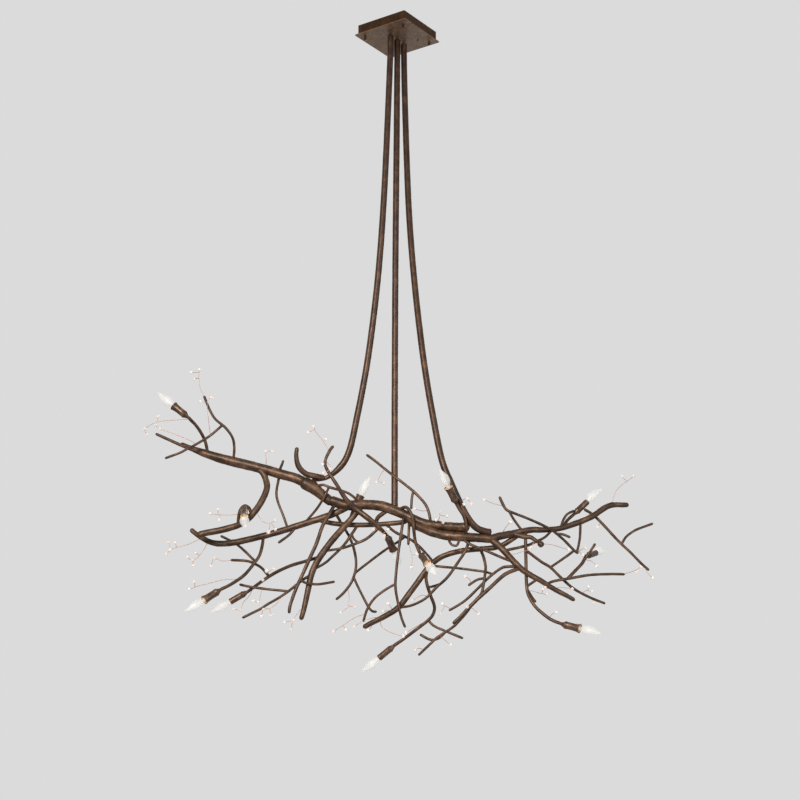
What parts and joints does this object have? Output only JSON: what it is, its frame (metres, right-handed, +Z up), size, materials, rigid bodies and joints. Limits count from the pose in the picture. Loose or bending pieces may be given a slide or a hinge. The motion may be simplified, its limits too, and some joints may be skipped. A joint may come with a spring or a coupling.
{
  "type": "branch chandelier",
  "caption": "Ceiling chandelier of bronze branches on curved tubes, with flared candle sockets, turning bulbs and wired crystal beads.",
  "frame": {"origin": "centre of the canopy's ceiling plane", "axes": "+Z up into the ceiling, +X along the spread of the branches to the right, +Y towards the back"},
  "size_m": [1.6978, 0.3558, 2.2741],
  "materials": {
    "bronze": "satin",
    "steel": "satin",
    "brass": "satin",
    "sleeve": "matte",
    "lamp_glass": "frosted",
    "crystal": "gloss",
    "copper": "satin",
    "lead": "matte",
    "block": "matte"
  },
  "bodies": {
    "frame": {"ceiling_bracket": "steel", "small_screws": "steel", "terminal_block": "block", "lead_wires": "lead", "canopy_studs": "steel", "canopy_box": "bronze", "canopy_plate": "bronze", "thumb_nuts": "bronze", "stem_locknuts": "brass", "stem_left": "bronze", "stem_center": "bronze", "stem_right": "bronze", "trunk_left": "bronze", "trunk_sleeve": "bronze", "trunk_center": "bronze", "trunk_right": "bronze", "trunk_lower": "bronze", "hook_limb": "bronze", "low_left_limb": "bronze", "crossing_limb": "bronze", "drop_limb": "bronze", "tie_limb": "bronze", "long_limb": "bronze", "low_right_limb": "bronze", "short_limbs": "bronze", "lamp_arms": "bronze", "left_twigs": "bronze", "center_twigs": "bronze", "right_twigs": "bronze", "side_twigs": "bronze", "socket_cups": "bronze", "socket_inserts": "sleeve", "socket_contacts": "brass", "crystal_wires": "copper", "crystal_beads": "crystal"},
    "bulb_1": {"bulb_1_base": "brass", "bulb_1_glass": "lamp_glass"},
    "bulb_2": {"bulb_2_base": "brass", "bulb_2_glass": "lamp_glass"},
    "bulb_3": {"bulb_3_base": "brass", "bulb_3_glass": "lamp_glass"},
    "bulb_4": {"bulb_4_base": "brass", "bulb_4_glass": "lamp_glass"},
    "bulb_5": {"bulb_5_base": "brass", "bulb_5_glass": "lamp_glass"},
    "bulb_6": {"bulb_6_base": "brass", "bulb_6_glass": "lamp_glass"},
    "bulb_7": {"bulb_7_base": "brass", "bulb_7_glass": "lamp_glass"},
    "bulb_8": {"bulb_8_base": "brass", "bulb_8_glass": "lamp_glass"},
    "bulb_9": {"bulb_9_base": "brass", "bulb_9_glass": "lamp_glass"},
    "bulb_10": {"bulb_10_base": "brass", "bulb_10_glass": "lamp_glass"},
    "bulb_11": {"bulb_11_base": "brass", "bulb_11_glass": "lamp_glass"},
    "bulb_12": {"bulb_12_base": "brass", "bulb_12_glass": "lamp_glass"}
  },
  "joints": [
    {"name": "bulb_1_turn", "type": "hinge", "parent": "frame", "child": "bulb_1", "pos_m": [-0.73314, -0.03845, -1.414], "axis": [-0.7752, 0.079, 0.6268], "range_deg": [0, 1080]},
    {"name": "bulb_2_turn", "type": "hinge", "parent": "frame", "child": "bulb_2", "pos_m": [-0.49777, -0.09024, -1.77869], "axis": [0.1061, -0.7832, -0.6127], "range_deg": [0, 1080]},
    {"name": "bulb_3_turn", "type": "hinge", "parent": "frame", "child": "bulb_3", "pos_m": [-0.60667, -0.07562, -2.04743], "axis": [-0.7703, -0.3027, -0.5613], "range_deg": [0, 1080]},
    {"name": "bulb_4_turn", "type": "hinge", "parent": "frame", "child": "bulb_4", "pos_m": [-0.53714, 0.07858, -2.03365], "axis": [-0.8633, 0.0573, -0.5014], "range_deg": [0, 1080]},
    {"name": "bulb_5_turn", "type": "hinge", "parent": "frame", "child": "bulb_5", "pos_m": [-0.12987, 0.027, -1.7123], "axis": [0.4211, 0, 0.907], "range_deg": [0, 1080]},
    {"name": "bulb_6_turn", "type": "hinge", "parent": "frame", "child": "bulb_6", "pos_m": [0.17411, -0.14846, -1.71719], "axis": [-0.4106, -0.5435, 0.7322], "range_deg": [0, 1080]},
    {"name": "bulb_7_turn", "type": "hinge", "parent": "frame", "child": "bulb_7", "pos_m": [0.09129, -0.13963, -1.93863], "axis": [0.3478, -0.7028, -0.6205], "range_deg": [0, 1080]},
    {"name": "bulb_8_turn", "type": "hinge", "parent": "frame", "child": "bulb_8", "pos_m": [-0.04498, 0.08175, -2.21643], "axis": [-0.7708, 0.1723, -0.6134], "range_deg": [0, 1080]},
    {"name": "bulb_9_turn", "type": "hinge", "parent": "frame", "child": "bulb_9", "pos_m": [0.56009, -0.16, -2.15313], "axis": [0.8738, -0.4, -0.2765], "range_deg": [0, 1080]},
    {"name": "bulb_10_turn", "type": "hinge", "parent": "frame", "child": "bulb_10", "pos_m": [0.61983, 0.01788, -1.72971], "axis": [0.6926, 0.2641, 0.6712], "range_deg": [0, 1080]},
    {"name": "bulb_11_turn", "type": "hinge", "parent": "frame", "child": "bulb_11", "pos_m": [0.6444, -0.00585, -1.89587], "axis": [0.5601, 0.7811, 0.2758], "range_deg": [0, 1080]},
    {"name": "bulb_12_turn", "type": "hinge", "parent": "frame", "child": "bulb_12", "pos_m": [-0.01831, 0.03732, -1.86176], "axis": [0.3276, 0.6959, -0.6391], "range_deg": [0, 1080]}
  ]
}
